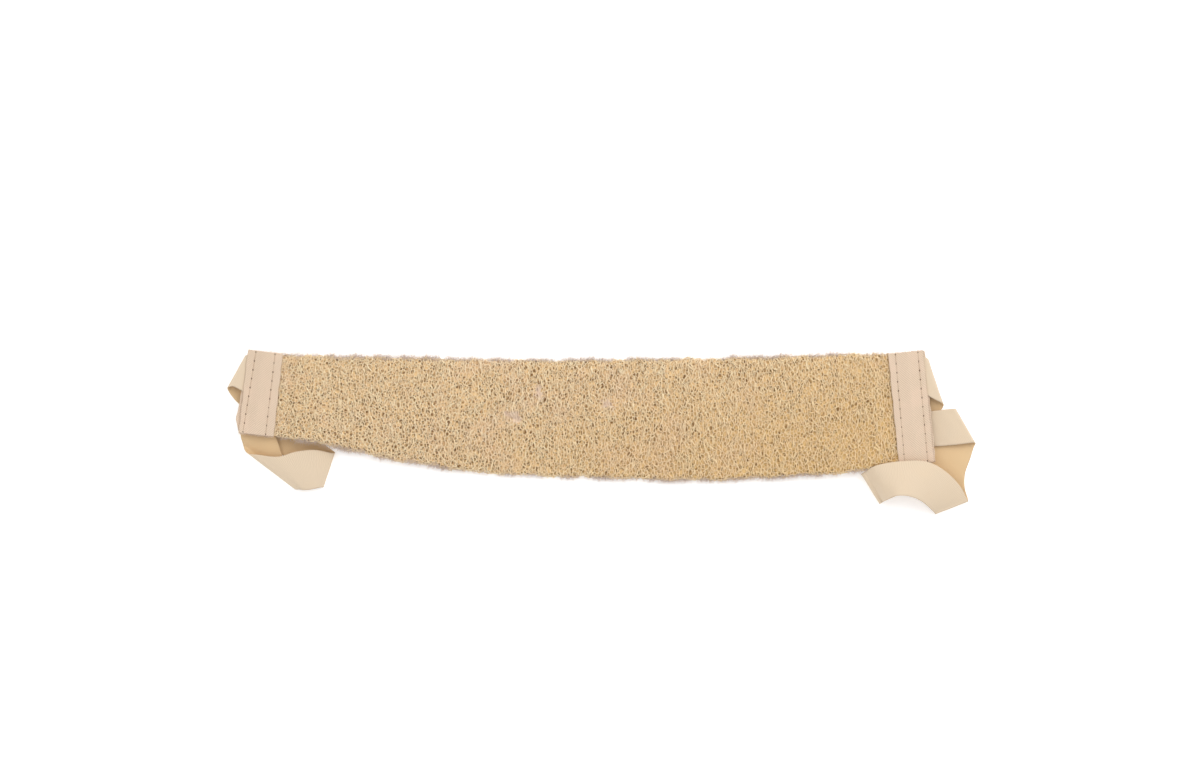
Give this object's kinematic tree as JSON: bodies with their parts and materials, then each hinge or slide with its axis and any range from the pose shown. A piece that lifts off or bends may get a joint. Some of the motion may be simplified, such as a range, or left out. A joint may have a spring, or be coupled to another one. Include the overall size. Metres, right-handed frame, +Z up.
{
  "type": "natural loofah back scrubber strap",
  "caption": "Flat strip of natural loofah, its ends bound in cotton tape, with a ribbon handle loop at each end, lying flat for storage.",
  "frame": {"origin": "on the shelf, under the middle of the whole scrubber's bounding box", "axes": "+X along the strip, from the end with the small handle loop to the end with the arched one; +Y across the strip; +Z up, off the shelf"},
  "size_m": [0.6354, 0.14, 0.0272],
  "materials": {
    "loofah": "matte",
    "cotton_tape": "matte",
    "ribbon": "satin",
    "thread": "matte"
  },
  "bodies": {
    "root": {"loofah_strip": "loofah", "front_tape_left": "cotton_tape", "back_tape_left": "cotton_tape", "front_tape_right": "cotton_tape", "back_tape_right": "cotton_tape", "needle_thread_outer_left": "thread", "needle_thread_inner_left": "thread", "needle_thread_outer_right": "thread", "needle_thread_inner_right": "thread", "bobbin_thread_outer_left": "thread", "bobbin_thread_inner_left": "thread", "bobbin_thread_outer_right": "thread", "bobbin_thread_inner_right": "thread", "ribbon_handle_left": "ribbon", "ribbon_handle_right": "ribbon"}
  },
  "joints": []
}
